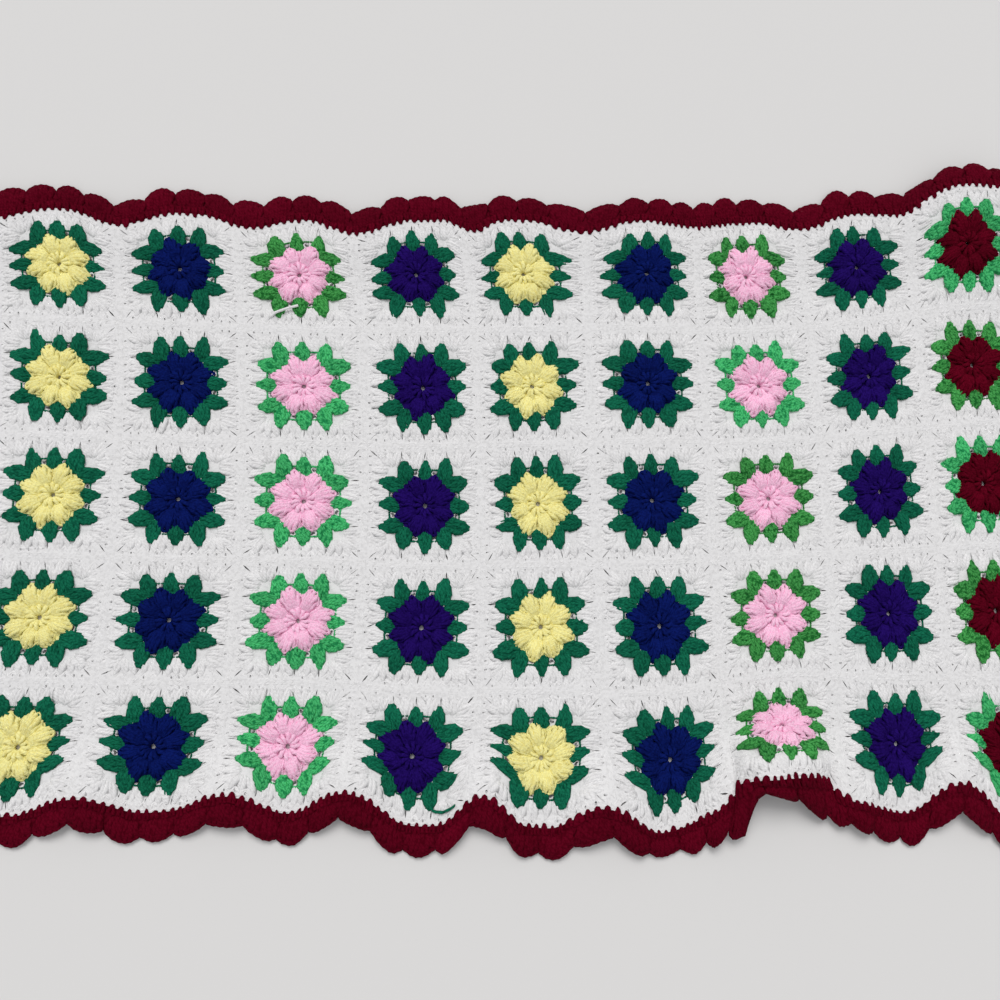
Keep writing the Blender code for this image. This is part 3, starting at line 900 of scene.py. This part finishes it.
def is_inside(points, outline):
    """Which points lie inside a closed outline."""
    inside = np.zeros(len(points), dtype=bool)
    px, py = points[:, 0], points[:, 1]
    for (ax, ay), (bx, by) in zip(outline, np.roll(outline, -1, axis=0)):
        if ay != by:
            crosses = (ay > py) != (by > py)
            inside ^= crosses & (px < ax + (py - ay) * (bx - ax) / (by - ay))
    return inside


def flat_triangles(outline, holes, ridges):
    """Points and triangles inside an outline, outside its holes, with edges along its ridges."""
    loops = [outline, *holes, *ridges]
    points = np.concatenate(loops)
    edges, first = [], 0
    for loop in loops:
        edges += [(first + i, first + (i + 1) % len(loop)) for i in range(len(loop))]
        first += len(loop)
    cut = delaunay_2d_cdt([Vector(point) for point in points], edges, [], 0, 1e-5)
    points, triangles = np.array([tuple(point) for point in cut[0]]), np.array(cut[2])
    centres = points[triangles].mean(axis=1)
    kept = is_inside(centres, outline)
    for hole in holes:
        kept &= ~is_inside(centres, hole)
    return points, triangles[kept]


def slit(x, y, turn, length):
    """A long narrow opening, pointed at both ends."""
    outline = np.array([(-0.5, 0.0), (-0.15, -0.5), (0.2, -0.5), (0.5, 0.0), (0.1, 0.5)])
    outline *= (length, SLIT_WIDTH * chance_of_hand.uniform(0.6, 1.2))
    return np.array([turned_point(*point, turn) for point in outline]) + (x, y)


half = PITCH / 2.0
run = np.linspace(-half, half, EDGE_CUTS + 1)[:-1]
fixed = np.full(EDGE_CUTS, half)
square_outline = np.concatenate([
    np.stack(side, axis=1)
    for side in ((run, -fixed), (fixed, run), (-run, fixed), (-fixed, -run))
])
round_holes = [circle(8, MIDDLE_HOLE)]
for side in range(4):
    for gap_turn in GAP_TURNS:
        angle = side * math.pi / 2.0 + math.radians(gap_turn)
        gap = circle(6, GAP_SIZE / 2.0, angle)
        round_holes.append(gap + GAP_REACH * np.array([math.cos(angle), math.sin(angle)]))
last_ridge = circle(48, LAST_RIDGE, 0.05)
last_ridge *= LAST_RIDGE / np.sum(last_ridge**4, axis=1, keepdims=True) ** 0.25
ridges = [*(circle(count, reach) for count, reach in RIDGES), last_ridge]

ground_yarns = list(YARN_COLOURS)
ground_points, ground_faces, ground_colours = [], [], []
first = 0
for column, row in SQUARES:
    holes = list(round_holes)
    small = []
    for side in range(4):
        quarter = side * math.pi / 2.0
        for away, sideways, lean in SLIT_PLACES:
            if chance_of_hand.random() < SLIT_SHARE:
                x, y = turned_point(away, sideways + chance_of_hand.normal(0.0, 0.4), quarter)
                lean = math.radians(lean + chance_of_hand.normal(0.0, 9.0))
                small.append(slit(x, y, quarter + lean, SLIT_LENGTH))
        x, y = turned_point(CORNER_SLIT, CORNER_SLIT, quarter)
        lean = chance_of_hand.normal(math.pi / 4.0, 0.12)
        small.append(slit(x, y, quarter + lean, CORNER_SLIT_LENGTH))
    for place in pinhole_places[column, row]:
        pinhole = circle(6, 0.5) * PINHOLE_SIZE * chance_of_hand.uniform(0.8, 1.4)
        quarter = math.pi / 2.0 * (abs(place[1]) > abs(place[0]))
        small.append(np.array([turned_point(*point, quarter) for point in pinhole]) + place)
    for opening in small:
        others = np.concatenate([*holes, last_ridge])
        apart = np.linalg.norm(others[:, None] - opening[None], axis=2).min()
        if apart > CUTS_APART and np.abs(opening).max() < half - EDGE_ROOM:
            holes.append(opening)
    square_points, square_triangles = flat_triangles(square_outline, holes, ridges)
    face_middles = square_points[square_triangles].mean(axis=1)
    reach = np.linalg.norm(face_middles, axis=1)
    facing_side = np.degrees(np.arctan2(face_middles[:, 1], face_middles[:, 0])) % 90.0
    in_gap = np.abs(np.abs(facing_side - 45.0) - (45.0 - GAP_TURNS[0])) < GAP_SECTOR
    ground_points.append(square_points + square_middle(column, row))
    ground_faces.append(square_triangles + first)
    colours = np.full(len(square_triangles), ground_yarns.index("white"))
    colours[(reach < LEAF_GROUND) & ~in_gap] = ground_yarns.index(leaf_green(column, row))
    colours[reach < FLOWER_GROUND] = ground_yarns.index(COLUMN_FLOWERS[column])
    ground_colours.append(colours)
    first += len(square_points)

long_half, short_half = COLUMNS * PITCH / 2.0, ROWS * PITCH / 2.0
inner_edge, outer_edge = [], []
for sign_x, sign_y, along_x, squares in (
    (-1, -1, 1, COLUMNS), (1, -1, 0, ROWS), (1, 1, -1, COLUMNS), (-1, 1, 0, ROWS),
):
    corner = np.array([sign_x * long_half, sign_y * short_half])
    direction = np.array([along_x, 0.0]) if along_x else np.array([0.0, float(sign_x)])
    outward = np.array([direction[1], -direction[0]])
    for step in range(squares * EDGE_CUTS):
        place_on_edge = corner + direction * step * PITCH / EDGE_CUTS
        inner_edge.append(place_on_edge)
        outer_edge.append(place_on_edge + outward * BORDER_GROUND)
    end = corner + direction * squares * PITCH
    outer_edge.append(end + outward * BORDER_GROUND)
    outer_edge.append(end + (outward + direction) * BORDER_GROUND * CORNER_GROUND)
border_points, border_triangles = flat_triangles(
    np.array(outer_edge), [np.array(inner_edge)], [])
ground_points.append(border_points)
ground_faces.append(border_triangles + first)
ground_colours.append(np.full(len(border_triangles), ground_yarns.index("dark_red")))

ground_points = np.concatenate(ground_points)
ground_faces = np.concatenate(ground_faces)
sheet = bpy.data.meshes.new("ground")
flat_points = np.column_stack([ground_points, np.full(len(ground_points), GROUND_LOW)])
sheet.from_pydata(flat_points.tolist(), [], ground_faces.tolist())
for colour in ground_yarns:
    sheet.materials.append(yarns[colour])
sheet.polygons.foreach_set("material_index", np.concatenate(ground_colours))
cloth_body = bmesh.new()
cloth_body.from_mesh(sheet)
bmesh.ops.remove_doubles(cloth_body, verts=cloth_body.verts, dist=0.01)
top = bmesh.ops.extrude_face_region(
    cloth_body, geom=cloth_body.faces[:], use_keep_orig=True)
for part in top["geom"]:
    if isinstance(part, bmesh.types.BMVert):
        in_square = (np.array(part.co[:2]) + (long_half, short_half)) % PITCH - PITCH / 2.0
        from_middle = np.sum(in_square**4) ** 0.25
        part.co.z = np.interp(from_middle, *np.array(GROUND_HEIGHTS).T)
bmesh.ops.recalc_face_normals(cloth_body, faces=cloth_body.faces)
cloth_body.to_mesh(sheet)
cloth_body.free()
flat = np.empty(len(sheet.vertices) * 3)
sheet.vertices.foreach_get("co", flat)
sheet.vertices.foreach_set("co", lay(flat.reshape(-1, 3)).ravel())
round_the_yarn = sheet.attributes.new("round", "FLOAT_VECTOR", "POINT")
round_the_yarn.data.foreach_set("vector", np.tile([1.0, 0.0, 0.0], len(sheet.vertices)))
along = sheet.attributes.new("along", "FLOAT", "POINT")
along.data.foreach_set("value", np.full(len(sheet.vertices), PLY_LENGTH / 6.0))
sheet.update()
ground = bpy.data.objects.new("ground", sheet)
bpy.context.scene.collection.objects.link(ground)
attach(ground, "root")
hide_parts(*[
    f"square_c{column}_r{row}" for column, row in SQUARES
])

# --------------------------------------
# The floor, the light and the camera. A plain pale surface, soft daylight from beyond the far
# edge, and a view from almost straight above.
# --------------------------------------
bpy.ops.mesh.primitive_plane_add(size=12.0)
floor = bpy.context.active_object
floor.name = "floor"
pale = bpy.data.materials.new("pale floor")
pale.use_nodes = True
pale.node_tree.nodes["Principled BSDF"].inputs["Base Color"].default_value = (0.70, 0.69, 0.68, 1)
pale.node_tree.nodes["Principled BSDF"].inputs["Roughness"].default_value = 0.9
floor.data.materials.append(pale)

world = bpy.data.worlds.new("studio")
world.use_nodes = True
world.node_tree.nodes["Background"].inputs["Color"].default_value = (0.97, 0.98, 1.0, 1.0)
world.node_tree.nodes["Background"].inputs["Strength"].default_value = 0.58
bpy.context.scene.world = world

lamp = bpy.data.lights.new("daylight", "SUN")
lamp.energy = 1.65
lamp.angle = math.radians(32.0)
lamp.color = (1.0, 0.99, 0.98)
daylight = bpy.data.objects.new("daylight", lamp)
daylight.rotation_euler = Vector((0.14, -0.85, -1.2)).to_track_quat("-Z", "Y").to_euler()
bpy.context.scene.collection.objects.link(daylight)

CAMERA_PLACE = (-0.0256, -0.1486, 0.889)
CAMERA_TILT, CAMERA_ROLL, CAMERA_YAW = math.radians(9.34), math.radians(-0.48), math.radians(3.94)
lens = bpy.data.cameras.new("camera")
lens.lens = 35.1
lens.sensor_width = 36.0
camera = bpy.data.objects.new("camera", lens)
turned_by = (
    Matrix.Rotation(CAMERA_TILT, 3, "X")
    @ Matrix.Rotation(CAMERA_ROLL, 3, "Z")
    @ Matrix.Rotation(-CAMERA_YAW, 3, "Y")
)
camera.matrix_world = Matrix.Translation(CAMERA_PLACE) @ turned_by.to_4x4()
bpy.context.scene.collection.objects.link(camera)
bpy.context.scene.camera = camera
bpy.context.scene.view_settings.view_transform = "Standard"
